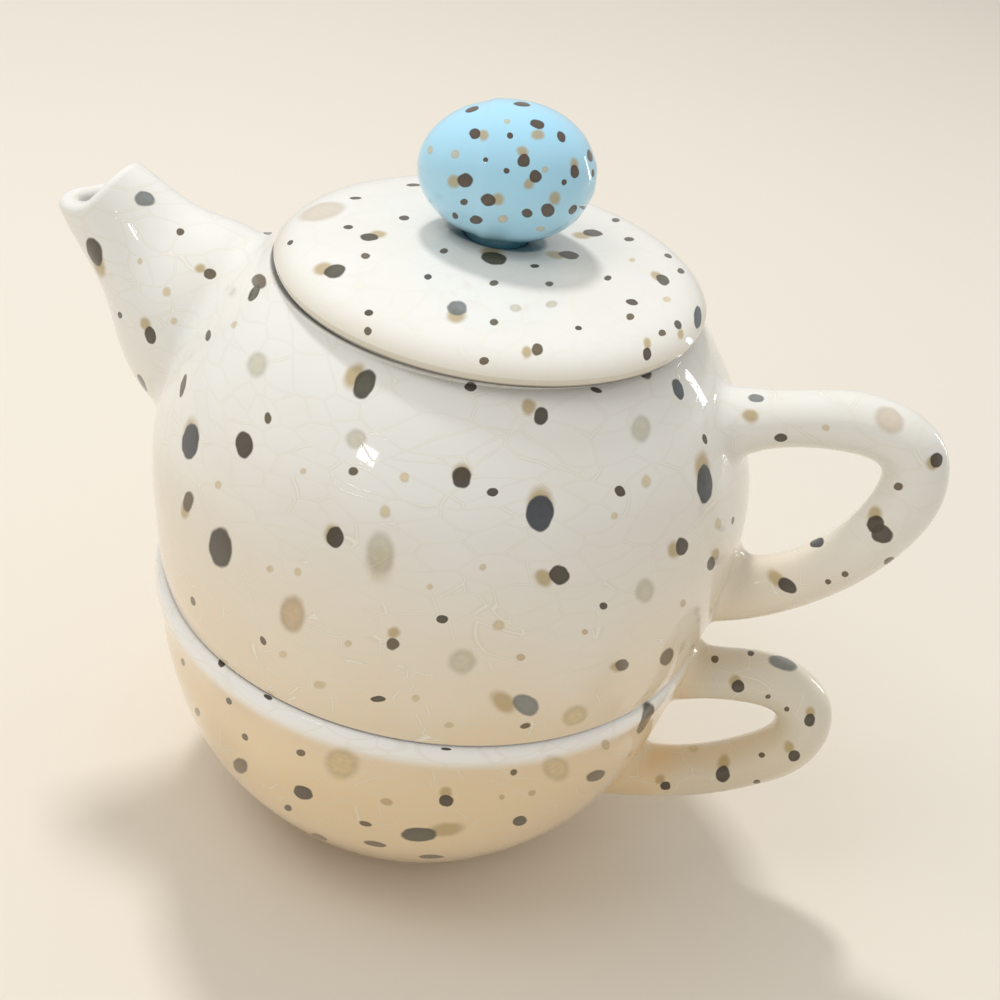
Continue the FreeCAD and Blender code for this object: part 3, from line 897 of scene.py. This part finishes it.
def uneven(n, where, cracks):
    """Bumped normal of the glaze's soft waves, grain and crack ridges."""
    wave = n.math("MULTIPLY", n.noise(where, WAVE_NOISE), WAVE_DEPTH)
    grain = n.math("MULTIPLY", n.noise(where, SKIN_GRAIN_NOISE), SKIN_GRAIN_DEPTH)
    skin = n.math("ADD", n.math("ADD", wave, grain), n.math("MULTIPLY", cracks, CRACK_RIDGE))
    inputs = {"Strength": BUMP_STRENGTH, "Distance": BUMP_DISTANCE, "Height": skin}
    return n.add("ShaderNodeBump", inputs).outputs[0]


def glazed(name, layers, shades, cracks, handle, bands):
    """Glossy glaze over clay: height-graded colour, bands, crazing, spots, painted gap shade, an uneven
    skin.
    """
    material = bpy.data.materials.new(name)
    material.use_nodes = True
    n = Nodes(material)
    low, high, levels, drift = shades
    where = n.add("ShaderNodeTexCoord").outputs["Object"]
    cloud = n.math("SUBTRACT", n.noise(where, CLOUD_NOISE), NOISE_MIDDLE)
    level = n.math("ADD", n.split(where)[2], n.math("MULTIPLY", cloud, drift))
    colour = n.mix(n.fade(level, *levels), linear(low), linear(high))
    blush = n.fade(n.noise(where, BLUSH_NOISE), *BLUSH_RANGE, 0.0, BLUSH_SHARE)
    colour = n.mix(blush, colour, linear(BLUSH))
    colour = banded(n, colour, where, level, handle, bands)
    lines, beside = crazing(n, where, cracks)
    colour = n.mix(n.math("MULTIPLY", beside, CRACK_SHADE_SHARE), colour, linear(CRACK_SHADE))
    colour = n.mix(n.math("MULTIPLY", lines, CRACK_SHARE), colour, linear(CRACK))
    colour = paint_spots(n, colour, layers, where)
    colour = shade_gaps(n, colour, where, bands)
    skin = uneven(n, where, lines)
    inputs = {**GLAZE, "Base Color": colour, "Normal": skin, "Coat Normal": skin}
    shader = n.add("ShaderNodeBsdfPrincipled", inputs)
    n.add("ShaderNodeOutputMaterial", {"Surface": shader.outputs[0]})
    return material


def dress(name, material):
    """Put a material on a node."""
    node = NODES[name]
    node.data.materials.clear()
    node.data.materials.append(material)


def make_glazes(layers):
    """Cream glaze on the three body pieces, blue on the egg."""
    shades = (CREAM_LOW, CREAM, BODY_LEVELS, BODY_DRIFT)
    for name, cracks, handle, bands in BODY_GLAZES:
        material = glazed(name + "_glaze", layers[name], shades, cracks, handle, bands)
        dress(name, material)
    egg_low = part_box("egg_knob")[0].z
    egg_levels = [egg_low + rise for rise in EGG_RISES]
    # the egg darkens towards its foot: pooled glaze and painted shade
    shades = (EGG_POOL_AND_SHADE, EGG_BLUE, egg_levels, EGG_DRIFT)
    dress("egg_knob", glazed("egg_glaze", layers["egg_knob"], shades, 0.0, 0.0, ()))


# Floor and light

def make_floor():
    """Plain pale floor under the set."""
    bpy.ops.mesh.primitive_plane_add(size=FLOOR_SIDE)
    floor = bpy.context.object
    floor.name = "floor"
    material = bpy.data.materials.new("floor_paper")
    material.use_nodes = True
    n = Nodes(material)
    where = n.add("ShaderNodeTexCoord").outputs["Object"]
    first, second = FLOOR_TONES
    colour = n.mix(n.noise(where, FLOOR_NOISE), linear(first), linear(second))
    inputs = {"Base Color": colour, "Roughness": FLOOR_ROUGHNESS}
    shader = n.add("ShaderNodeBsdfPrincipled", inputs)
    n.add("ShaderNodeOutputMaterial", {"Surface": shader.outputs[0]})
    floor.data.materials.append(material)


def make_lamps():
    """Soft lamps that point at the set."""
    for name, (place, width, height, watts, in_reflections) in LAMPS.items():
        data = bpy.data.lights.new(name, "AREA")
        data.shape = "RECTANGLE"
        data.size = width
        data.size_y = height
        data.energy = watts
        lamp = bpy.data.objects.new(name, data)
        lamp.location = place
        lamp.rotation_euler = (LAMP_AIM - Vector(place)).to_track_quat("-Z", "Y").to_euler()
        lamp.visible_glossy = in_reflections
        bpy.context.scene.collection.objects.link(lamp)


def make_world():
    """Even pale light from all round."""
    world = bpy.data.worlds.new("studio")
    world.use_nodes = True
    background = world.node_tree.nodes["Background"]
    background.inputs[0].default_value = linear(WORLD_TONE)
    background.inputs[1].default_value = WORLD_STRENGTH
    bpy.context.scene.world = world


make_camera()
make_glazes(all_spots())
make_floor()
make_lamps()
make_world()
bpy.context.scene.view_settings.view_transform = "Standard"
